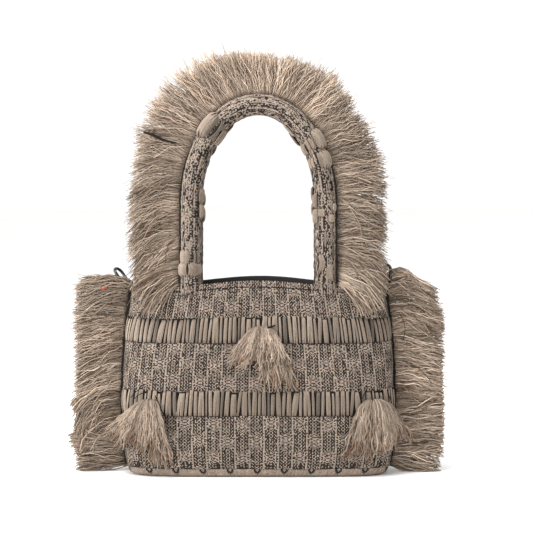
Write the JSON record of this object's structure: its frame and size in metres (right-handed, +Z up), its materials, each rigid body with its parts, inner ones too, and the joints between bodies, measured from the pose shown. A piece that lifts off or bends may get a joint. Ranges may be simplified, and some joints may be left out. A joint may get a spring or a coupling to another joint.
{
  "type": "fringed handbag",
  "caption": "Small soft open-topped handbag of thick woven cloth with padded arch handles, long yarn fringe along handles and side seams, and yarn tassels on the front.",
  "frame": {"origin": "middle of the flat resting face of the base", "axes": "+Z up along the height, +X to the right when looking at the front, +Y from the front to the back; the front with the tassels faces -Y"},
  "size_m": [0.3382, 0.09, 0.3794],
  "materials": {
    "weave": "beige and charcoal jacquard weave",
    "base_weave": "beige weave with charcoal ticks",
    "handle_weave": "beige and charcoal jacquard weave over padding",
    "lining": "plain black lining cloth",
    "yarn": "loose beige and taupe yarn",
    "loop_black": "glossy black"
  },
  "bodies": {
    "root": {"front_panel": "weave", "back_panel": "weave", "base_panel": "base_weave", "lining": "lining", "handle_front": "handle_weave", "handle_back": "handle_weave", "handle_fringe_front": "yarn", "handle_fringe_back": "yarn", "side_fringe_left": "yarn", "side_fringe_right": "yarn", "tassel_upper": "yarn", "tassel_left": "yarn", "tassel_right": "yarn", "strap_loop_left": "loop_black", "strap_loop_right": "loop_black"}
  },
  "joints": []
}
